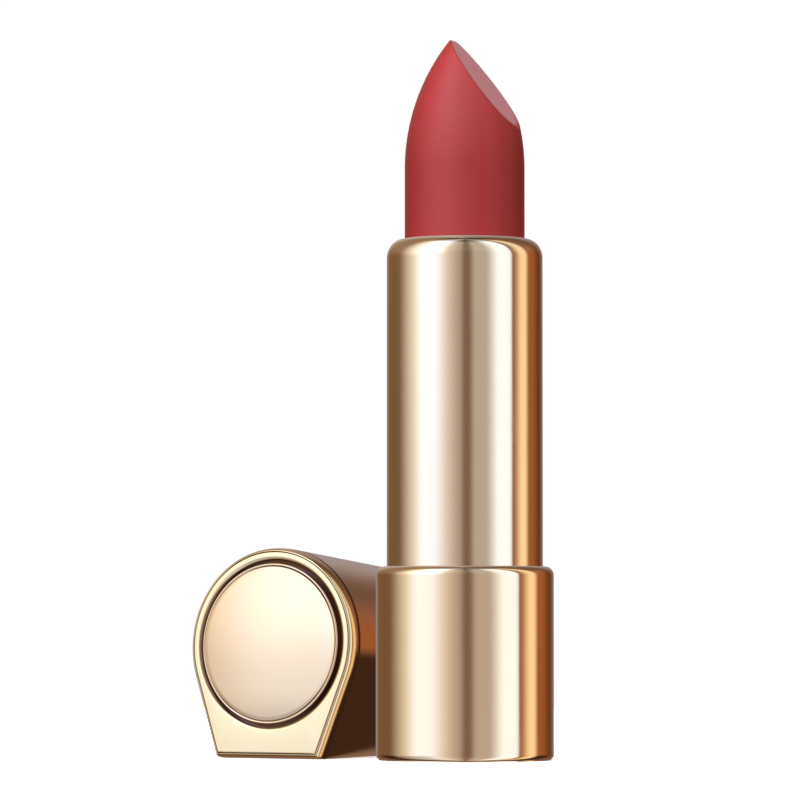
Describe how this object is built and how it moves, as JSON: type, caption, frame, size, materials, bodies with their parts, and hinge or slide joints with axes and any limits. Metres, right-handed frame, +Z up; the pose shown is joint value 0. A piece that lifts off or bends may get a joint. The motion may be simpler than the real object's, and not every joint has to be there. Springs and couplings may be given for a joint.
{
  "type": "lipstick case",
  "caption": "Twist-up lipstick case with a slanted bullet raised from a round sleeve and its keyhole-ended cap lying beside it.",
  "frame": {"origin": "centre of the base's underside, on the table", "axes": "+Z up along the lipstick's axis; +Y along the lying cap, from its closed end to its mouth; the cap lies at -X"},
  "size_m": [0.0399, 0.0426, 0.0764],
  "materials": {
    "base_shell": "polished pale gold anodising",
    "bottom_plate": "polished pale gold anodising",
    "shade_label": "blank satin paper label",
    "base_core": "natural white moulding",
    "base_weight": "plain turned steel",
    "drag_ring": "soft silicone",
    "retaining_collar": "natural white moulding",
    "guide_tube": "natural white moulding",
    "spiral_tube": "natural white moulding",
    "sleeve_shell": "polished pale gold anodising",
    "bullet_cup": "natural white moulding",
    "bullet": "satin pigmented wax",
    "cap_shell": "polished pale gold anodising",
    "cap_end_frame": "polished pale gold anodising",
    "cap_liner": "natural white moulding",
    "medallion": "polished pale gold anodising, slightly domed",
    "medallion_pad": "thin foam adhesive pad"
  },
  "bodies": {
    "base": {"base_shell": "base_shell", "bottom_plate": "bottom_plate", "shade_label": "shade_label", "base_core": "base_core", "base_weight": "base_weight", "drag_ring": "drag_ring", "retaining_collar": "retaining_collar", "guide_tube": "guide_tube"},
    "sleeve": {"sleeve_shell": "sleeve_shell", "spiral_tube": "spiral_tube"},
    "carrier": {"bullet_cup": "bullet_cup", "bullet": "bullet"},
    "cap": {"cap_shell": "cap_shell", "cap_end_frame": "cap_end_frame", "cap_liner": "cap_liner", "medallion": "medallion", "medallion_pad": "medallion_pad"}
  },
  "joints": [
    {"name": "twist", "type": "hinge", "parent": "base", "child": "sleeve", "pos_m": [0, 0, 0], "axis": [0, 0, 1], "range_deg": [0, 450]},
    {"name": "bullet_feed", "type": "slide", "parent": "base", "child": "carrier", "axis": [0, 0, 1], "range_m": [-0.0219, 0]},
    {"name": "cap_lift", "type": "slide", "parent": "base", "child": "cap", "axis": [0, 0, 1], "range_m": [0, 0.06]}
  ],
  "couplings": [
    {"joint": "twist", "follows": "bullet_feed", "rad_per_m": -358.62}
  ]
}
